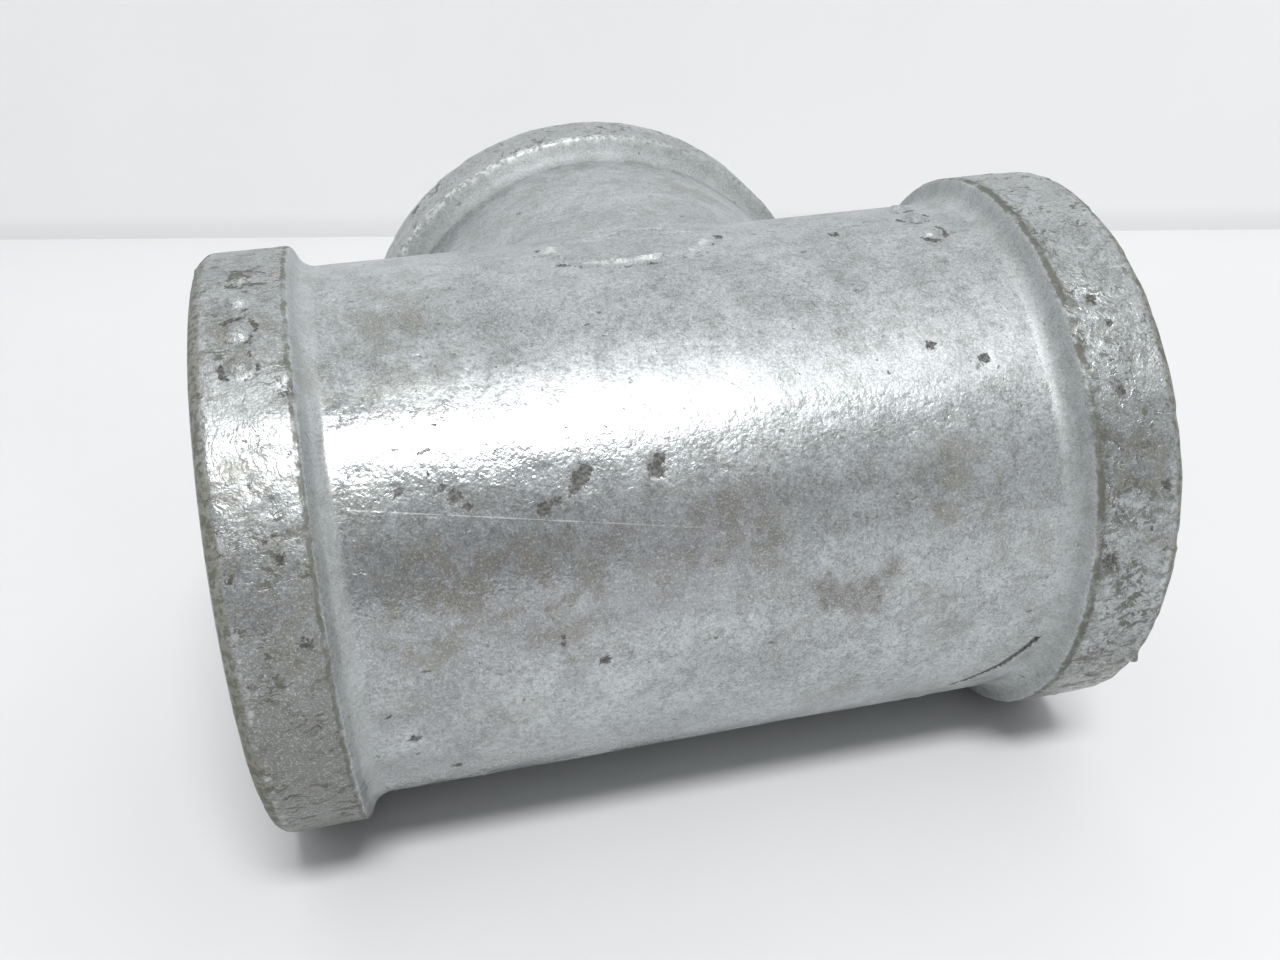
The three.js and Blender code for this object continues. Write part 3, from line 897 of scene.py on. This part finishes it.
    # bright worn spots along the rim's shoulder
    worn = g.mul(g.ramp(g.math("ABSOLUTE", g.math("SUBTRACT", over, 2.1)), 0.1, 0.6, 1.0, 0.0), g.ramp(g.noise(p, 1.7, 2.0, 0.6, seed=25), 0.50, 0.62))
    color = g.mix(g.mul(worn, 0.40), color, (0.66, 0.69, 0.69))

    # the plain oval pad's lip is lightened in places: partly wear, partly a painted highlight
    def round_at(cx, cy, a, b):
        flat = g.node("ShaderNodeCombineXYZ")
        g.put(flat.inputs[0], g.mul(g.math("SUBTRACT", x, cx), 1.0 / a))
        g.put(flat.inputs[1], g.mul(g.math("SUBTRACT", y, cy), 1.0 / b))
        long = g.node("ShaderNodeVectorMath", operation="LENGTH")
        g.put(long.inputs[0], flat.outputs[0])
        return long.outputs["Value"]

    top = g.math("GREATER_THAN", z, 30.0)
    pad_e = round_at(*PAD)
    lip_line = g.mul(g.ramp(g.math("ABSOLUTE", g.math("SUBTRACT", pad_e, 0.93)), 0.03, 0.11, 1.0, 0.0), g.ramp(g.noise(p, 3.0, 2.0, 0.6, seed=35), 0.46, 0.56))
    lip_wear_and_highlight = g.mul(top, lip_line, g.ramp(fine, 0.36, 0.54, 0.25, 1.0))
    color = g.mix(g.mul(lip_wear_and_highlight, 0.55), color, (0.86, 0.87, 0.85))

    # dirt measured from the casting's own relief, and pinholes
    packed = g.ramp(g.add(g.attribute("dirt"), g.mul(g.math("SUBTRACT", g.noise(p, 0.55, 3.0, 0.7, seed=26), 0.5), 1.5)), 0.26, 0.50)
    color = g.mix(g.mul(packed, g.ramp(grain, 0.34, 0.62, 1.0, 0.75)), color, (0.055, 0.055, 0.048))
    cells = g.cells(pw, 1.9, seed=1)
    hole = g.mul(g.ramp(cells.outputs["Distance"], 0.05, 0.12, 1.0, 0.0), g.ramp(g.noise(p, 4.0, 2.0, seed=12), 0.48, 0.60))
    # slanting flecks
    slant = g.node("ShaderNodeMapping", vector_type="POINT")
    g.put(slant.inputs["Vector"], pw)
    slant.inputs["Rotation"].default_value = (0.0, math.radians(-38), 0.0)
    slant.inputs["Scale"].default_value = (0.16, 0.42, 0.42)
    cells2 = g.cells(slant.outputs[0], 1.0, seed=2)
    hole2 = g.mul(g.ramp(cells2.outputs["Distance"], 0.06, 0.13, 1.0, 0.0), g.ramp(g.noise(p, 7.0, 2.0, seed=13), 0.50, 0.60))
    holes = g.math("MAXIMUM", hole, hole2)
    color = g.mix(g.mul(holes, 0.75), color, (0.09, 0.09, 0.072))

    # roughness and metalness; above a wandering line on the front the skin is duller
    dull_at = g.add(z, g.mul(x, 0.075), g.mul(g.math("SUBTRACT", g.noise(p, 5.0, 3.0, 0.6, seed=28), 0.5), 1.6))
    dull = g.mul(g.ramp(dull_at, 25.0, 26.6), g.inverse(branch))
    rough = g.add(
        0.255,
        g.mul(g.math("SUBTRACT", fine, 0.5), 0.22),
        g.mul(g.math("SUBTRACT", mottle, 0.5), 0.16),
        g.mul(band, g.blend(right, 0.06, -0.10)),
        g.mul(fillet, g.blend(branch, g.blend(to_right, 0.10, 0.16), 0.30)),
        g.mul(branch, 0.08),
        g.mul(dull, 0.13),
        g.mul(left, 0.11),
        g.mul(lip_wear_and_highlight, -0.10),
        g.mul(rim, 0.22),
        g.mul(stain, 0.14),
        g.mul(bloom_and_painted_reflection, 0.14),
        g.mul(edge, 0.25),
        g.mul(pitting, 0.22),
        g.mul(packed, 0.35),
        g.mul(holes, 0.25),
        g.ramp(x, -30.0, 14.0, -0.06, 0.085),
    )
    metal = g.add(
        0.60,
        g.mul(right, 0.14),
        g.mul(stain, -0.20),
        g.mul(bloom_and_painted_reflection, -0.22),
        g.mul(pitting, -0.35),
        g.mul(edge, -0.35),
        g.mul(rim, -0.3),
        g.mul(fillet, -0.12),
        g.mul(packed, -0.55),
        g.mul(holes, -0.4),
    )

    # fine relief: wrinkles below and right of the calm upper front, crystals, drawn marks on the bands
    calm = g.ramp(g.add(z, g.mul(x, 0.05), g.mul(g.math("SUBTRACT", mottle, 0.5), 9.0)), 22.5, 28.0, 1.0, 0.22)
    wrinkle = g.mul(g.blend(band, calm, g.blend(right, 0.8, 1.5)), g.ramp(cloud, 0.36, 0.60, 0.65, 1.1), g.blend(fillet, 1.0, 0.35))
    bump = g.add(
        g.mul(wrinkle, g.add(g.mul(ridge, 0.72), g.mul(ridge2, 0.95))),
        g.mul(g.math("SUBTRACT", g.noise(p, 0.50, 1.0, 0.5, seed=14), 0.5), 0.30, g.add(g.mul(wrinkle, 0.75), 0.30)),
        g.mul(g.math("SUBTRACT", fine, 0.5), 0.22, g.blend(fillet, 1.0, 0.3)),
        g.mul(band, g.math("SUBTRACT", g.noise(q, 0.95, 2.0, 0.55, seed=16), 0.5), 0.75),
        g.mul(left, g.math("SUBTRACT", g.noise(g.vector("MULTIPLY", pw, (1.9, 0.30, 0.30)), 1.0, 2.0, 0.55, seed=29), 0.5), 0.9),
        g.mul(pitting, -0.55),
        g.mul(holes, -0.5),
        g.mul(rim, g.math("SUBTRACT", g.noise(p, 1.0, 3.0, 0.6, seed=17), 0.5), 0.8),
    )
    # a long, thin scratch across the front
    a, b = np.array([-43.4, -29.6, 20.0]), np.array([3.9, -33.7, 11.8])
    n = np.cross(b - a, np.array([0, -0.87, 0.49]))
    n /= np.linalg.norm(n)
    off = g.math("ABSOLUTE", g.math("SUBTRACT", g.vector("DOT_PRODUCT", p, tuple(map(float, n))), float(n @ a)))
    off = g.add(off, g.mul(g.math("SUBTRACT", g.noise(p, 5.0, 1.0, seed=18), 0.5), 0.25))
    scratch = g.mul(
        g.ramp(off, 0.02, 0.11, 1.0, 0.0),
        g.ramp(x, -43.5, -41.0),
        g.ramp(x, -16.0, 4.0, 1.0, 0.0),
        g.ramp(z, 9.0, 10.0),
        g.math("LESS_THAN", y, 0.0),
        g.ramp(g.noise(p, 1.2, 2.0, seed=19), 0.30, 0.44),
    )
    color = g.mix(g.mul(scratch, g.ramp(x, -30.0, -8.0, 0.70, 0.40)), color, (0.86, 0.87, 0.87))
    # small rust blooms
    for c, r in (((-55.6, -37.6, -6.5), 1.1), ((-55.9, -37.3, -4.5), 0.7), ((-47.3, -3.5, 38.4), 0.75), ((-46.4, -7.2, 37.9), 0.5), ((55.0, 15.0, 35.3), 0.8)):
        blot = g.mul(g.spot(pw, c, r * 1.5, 0.1), g.ramp(fine, 0.40, 0.58))
        color = g.mix(g.mul(blot, 0.62), color, (0.36, 0.215, 0.060))
        rough = g.add(rough, g.mul(blot, 0.2))
        metal = g.add(metal, g.mul(blot, -0.6))
    # a fresh nick shows bright metal in a dark bruise
    nick = g.spot(pw, NICK, 1.35, 0.4)
    color = g.mix(g.mul(nick, g.ramp(grain, 0.40, 0.56), 0.85), color, (0.07, 0.07, 0.075))

    # the end faces are skimmed flat
    color = g.mix(g.mul(face, 0.55), color, (0.46, 0.465, 0.47))

    if inside:
        color = g.mix(0.45, color, (0.20, 0.195, 0.175))
        rough = g.add(rough, 0.16)
        metal = g.add(metal, -0.25)

    normal = g.bump(bump, 0.00010, 1.0)
    return g.surface(
        color,
        g.math("MINIMUM", g.math("MAXIMUM", rough, 0.15), 0.85),
        g.math("MINIMUM", g.math("MAXIMUM", metal, 0.0), 1.0),
        normal,
    )


def machined(name):
    """Bare tapped iron: bright on the crests, tool marks round the bore, dark oil and rust film in the roots."""
    g = Graph(name)
    p = g.place()
    fine = g.noise(p, 0.5, 3.0, 0.6, seed=31)
    cloud = g.noise(p, 7.0, 3.0, 0.6, seed=32)
    root = g.attribute("root")
    color = g.mix(g.ramp(cloud, 0.35, 0.65), (0.36, 0.355, 0.345), (0.50, 0.495, 0.485))
    color = g.mix(g.ramp(fine, 0.35, 0.6, 0.30, 0.0), color, (0.16, 0.155, 0.145))
    color = g.mix(g.mul(root, g.ramp(cloud, 0.3, 0.6, 0.45, 0.85)), color, (0.115, 0.105, 0.09))
    rust = g.mul(g.ramp(g.noise(p, 2.4, 4.0, 0.65, seed=33), 0.56, 0.68), 0.5)
    color = g.mix(rust, color, (0.21, 0.125, 0.065))
    rough = g.add(0.27, g.mul(g.math("SUBTRACT", fine, 0.5), 0.18), g.mul(root, 0.22), g.mul(rust, 0.35))
    metal = g.add(0.95, g.mul(root, -0.25), g.mul(rust, -0.6))
    # tool marks: fine rings at right angles to the bore
    xyz = g.node("ShaderNodeSeparateXYZ")
    g.put(xyz.inputs[0], p)
    x, y, z = xyz.outputs
    on_branch = g.math("GREATER_THAN", y, BODY_R)
    s = g.blend(on_branch, g.math("ABSOLUTE", x), y)
    ring = g.noise(g.vector("MULTIPLY", _stack(g, s, s, s), (9.0, 0.0, 0.0)), 1.0, 1.0, 0.5)
    normal = g.bump(g.add(g.mul(ring, 0.7), fine), 0.000014, 0.8)
    return g.surface(color, rough, metal, normal)


def _stack(g, a, b, c):
    n = g.node("ShaderNodeCombineXYZ")
    for k, v in enumerate((a, b, c)):
        g.put(n.inputs[k], v)
    return n.outputs[0]


skin_mat = zinc("galvanised_skin")
core_mat = zinc("galvanised_core", inside=True)
iron_mat = machined("tapped_iron")

# ---- join the outside and the inside ----------------------------------------------------------


def add_object(me, mats):
    for m in mats:
        me.materials.append(m)
    o = bpy.data.objects.new(me.name, me)
    bpy.context.scene.collection.objects.link(o)
    return o


def cut(target, tools):
    """Subtracts each tool, keeping the tool's own material on the new faces."""
    for tool in tools:
        m = target.modifiers.new("cut", "BOOLEAN")
        m.operation = "DIFFERENCE"
        m.solver = "MANIFOLD"
        m.object = tool
        if hasattr(m, "material_mode"):
            m.material_mode = "INDEX"
        bpy.context.view_layer.update()
        dg = bpy.context.evaluated_depsgraph_get()
        done = bpy.data.meshes.new_from_object(target.evaluated_get(dg), depsgraph=dg)
        target.modifiers.clear()
        old = target.data
        target.data = done
        bpy.data.meshes.remove(old)
        bpy.data.objects.remove(tool)


MATS = [skin_mat, core_mat, iron_mat]


def tool_object(me, index):
    for f in me.polygons:
        f.material_index = index
    return add_object(me, MATS)


tee = add_object(skin, MATS)
cut(tee, [tool_object(chamber_run, 1), tool_object(chamber_branch, 1)])
for axis, twist, band in (("+x", 0.4, RIGHT), ("-x", 2.1, LEFT), ("+y", 4.0, BRANCH)):
    bar = mesh_of("thread_bar", *drop_loose(*thread(axis, twist)))
    cone = mesh_of("mouth_cone", *mouth(axis, band["out"]))
    cut(tee, [tool_object(bar, 2), tool_object(cone, 2)])

me = tee.data
me.name = tee.name = "tee_casting"
bm = bmesh.new()
bm.from_mesh(me)
bmesh.ops.dissolve_degenerate(bm, edges=bm.edges, dist=1e-4)
bmesh.ops.triangulate(bm, faces=[f for f in bm.faces if len(f.verts) > 4])
bad = sum(1 for e in bm.edges if len(e.link_faces) != 2)
print("tee_casting:", len(bm.verts), "vertices,", sum(len(f.verts) - 2 for f in bm.faces), "triangles,", bad, "edges not shared by two faces, volume", round(bm.calc_volume(signed=True) / 1000, 2), "cm3")
bm.to_mesh(me)
bm.free()

# what the materials need to know about each point
p = points(me)
s = np.maximum(np.abs(p[:, 0]), p[:, 1])
radial = np.where(
    p[:, 1] > BODY_R + 0.5, np.hypot(p[:, 0], p[:, 2]), np.hypot(p[:, 1], p[:, 2])
)
depth = END - s
minor = PITCH_R - THREAD_H / 2 - depth * TAPER
root = np.clip((radial - minor) / THREAD_H, 0, 1)
root = np.where((depth > 0.6) & (depth < LAND + 1) & (radial < minor + THREAD_H + 0.4), root, 0.0)
layer = me.attributes.new("root", "FLOAT", "POINT")
layer.data.foreach_set("value", root.astype(np.float32))

# millimetres from the crossing to metres in the row's frame
set_points(me, (p + CENTRE) / 1000)
me.polygons.foreach_set("use_smooth", [True] * len(me.polygons))
me.set_sharp_from_angle(angle=math.radians(38))
me.update()

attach(tee, "root")
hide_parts(NODE)

# ---- table, backdrop, light and camera ---------------------------------------------------------


def pale(name, color, rough, foot=False):
    """A pale matt sheet; a backdrop has painted shade in the last few millimetres above the table, a table is painted
    lighter away from the tee.
    """
    g = Graph(name)
    c = g.vector("SCALE", g.node("ShaderNodeTexCoord").outputs["Object"], 1000.0)
    mottled = g.noise(c, 60.0, 3.0, 0.5)
    tone = g.mix(g.ramp(mottled, 0.35, 0.65), tuple(0.985 * v for v in color), color)
    split = g.node("ShaderNodeSeparateXYZ")
    g.put(split.inputs[0], c)
    if foot:
        # painted shade: the backdrop darkens in its last few millimetres, where it meets the table
        high = g.math("SUBTRACT", split.outputs[2], floor_z * 1000)
        tone = g.mix(g.mul(g.ramp(high, 1.5, 9.0, 1.0, 0.0), 0.16), tone, (0.12, 0.12, 0.12))
    else:
        # painted light: the table is lighter further back and to the left, away from the tee, evening out the lamp's
        # falloff
        painted_light_far = g.math("MAXIMUM", g.ramp(split.outputs[1], 20.0, 230.0), g.ramp(split.outputs[0], -60.0, -190.0))
        tone = g.mix(g.mul(painted_light_far, 0.55), tone, tuple(min(1.0, 1.16 * v) for v in color))
    return g.surface(tone, rough, 0.0)


def sheet(name, corners, mat):
    """A sheet that is clear from behind, so that the tee can be looked at from below and from the back."""
    tree = mat.node_tree
    output = next(n for n in tree.nodes if n.type == "OUTPUT_MATERIAL")
    front_of = next(n for n in tree.nodes if n.type == "BSDF_PRINCIPLED")
    clear = tree.nodes.new("ShaderNodeBsdfTransparent")
    pick = tree.nodes.new("ShaderNodeMixShader")
    back = tree.nodes.new("ShaderNodeNewGeometry")
    tree.links.new(back.outputs["Backfacing"], pick.inputs[0])
    tree.links.new(front_of.outputs[0], pick.inputs[1])
    tree.links.new(clear.outputs[0], pick.inputs[2])
    tree.links.new(pick.outputs[0], output.inputs["Surface"])
    me = bpy.data.meshes.new(name)
    me.from_pydata([tuple(c) for c in corners], [], [(0, 1, 2, 3)])
    me.materials.append(mat)
    o = bpy.data.objects.new(name, me)
    bpy.context.scene.collection.objects.link(o)
    return o


floor_z = lo.z
floor = sheet(
    "table",
    [(-3, -3, floor_z), (3, -3, floor_z), (3, 3, floor_z), (-3, 3, floor_z)],
    pale("table_white", (0.700, 0.706, 0.716), 0.55),
)

# camera, at the picture's viewing angle
UNIT = BAND_R / 1000
cam_at = Vector((-0.90982, -3.89846, 2.28559)) * UNIT + Vector(CENTRE / 1000)
yaw, pitch, roll = 0.21065, 0.51442, -0.03468
forward = Vector((math.sin(yaw) * math.cos(pitch), math.cos(yaw) * math.cos(pitch), -math.sin(pitch)))
right = forward.cross(Vector((0, 0, 1))).normalized()
up = right.cross(forward)
right, up = right * math.cos(roll) + up * math.sin(roll), up * math.cos(roll) - right * math.sin(roll)
cam_data = bpy.data.cameras.new("camera")
cam = bpy.data.objects.new("camera", cam_data)
bpy.context.scene.collection.objects.link(cam)
turned = Matrix((right, up, -forward)).transposed().to_4x4()
turned.translation = cam_at
cam.matrix_world = turned
cam_data.sensor_width = 36.0
cam_data.lens = 36.0 * 1237.2 / 1280.0
cam_data.clip_start, cam_data.clip_end = 0.005, 20.0
bpy.context.scene.camera = cam

# backdrop behind the tee, turned a little to the view, seen only from its front
side = Vector((0.95724, -0.28928, 0))
foot = Vector((0.04556, 0.22552 + AXIS_Y / 1000, floor_z))
wall_mat = pale("backdrop_white", (0.68, 0.685, 0.69), 0.7, foot=True)
tree = wall_mat.node_tree
shader = next(n for n in tree.nodes if n.type == "BSDF_PRINCIPLED")
# painted light: the backdrop glows a little, though it is no lamp, and so also lights the back of the tee
shader.inputs["Emission Color"].default_value = (0.97, 0.985, 1.0, 1.0)
shader.inputs["Emission Strength"].default_value = 0.19
w = 0.8
backdrop = sheet(
    "backdrop",
    [foot - side * w, foot + side * w, foot + side * w + Vector((0, 0, 0.5)), foot - side * w + Vector((0, 0, 0.5))],
    wall_mat,
)


def area(name, at, along, size, power, color=(1, 1, 1)):
    """A rectangular light facing straight down, its long side turned to run along the direction given."""
    data = bpy.data.lights.new(name, "AREA")
    data.shape = "RECTANGLE"
    data.size, data.size_y = size
    data.energy = power
    data.color = color
    o = bpy.data.objects.new(name, data)
    bpy.context.scene.collection.objects.link(o)
    o.location = at
    o.rotation_euler = (0, 0, math.atan2(along[1], along[0]))
    return o


# one strong softbox over the front: it makes the long highlight and the tight shadow under the body
area("softbox", (0.045, -0.68, 1.28), (0.985, -0.174), (0.48, 0.25), 18.0, (1.0, 0.997, 0.992))

world = bpy.data.worlds.new("studio")
bpy.context.scene.world = world
world.use_nodes = True
w = Graph.__new__(Graph)
w.tree = world.node_tree
w.tree.nodes.clear()
heading = w.node("ShaderNodeTexCoord").outputs["Generated"]
parts = w.node("ShaderNodeSeparateXYZ")
w.put(parts.inputs[0], heading)
east, north, high = parts.outputs
# an even white room, unlit low down in front and to the left
dim = w.mul(w.ramp(north, 0.15, -0.50), w.ramp(high, 0.85, 0.35), w.ramp(east, 0.80, 0.05, 0.25, 1.0))
room = w.node("ShaderNodeBackground")
w.put(room.inputs["Color"], (0.965, 0.984, 1.0, 1.0))
w.put(room.inputs["Strength"], w.blend(dim, 0.65, 0.165))
seen = w.node("ShaderNodeBackground")
w.put(seen.inputs["Color"], (0.80, 0.81, 0.82, 1.0))
choose = w.node("ShaderNodeMixShader")
w.put(choose.inputs[0], w.node("ShaderNodeLightPath").outputs["Is Camera Ray"])
w.put(choose.inputs[1], room.outputs[0])
w.put(choose.inputs[2], seen.outputs[0])
w.put(w.node("ShaderNodeOutputWorld").inputs["Surface"], choose.outputs[0])

view = bpy.context.scene.view_settings
view.view_transform = "Standard"
view.look = "None"
view.exposure = 0.0
view.gamma = 1.0
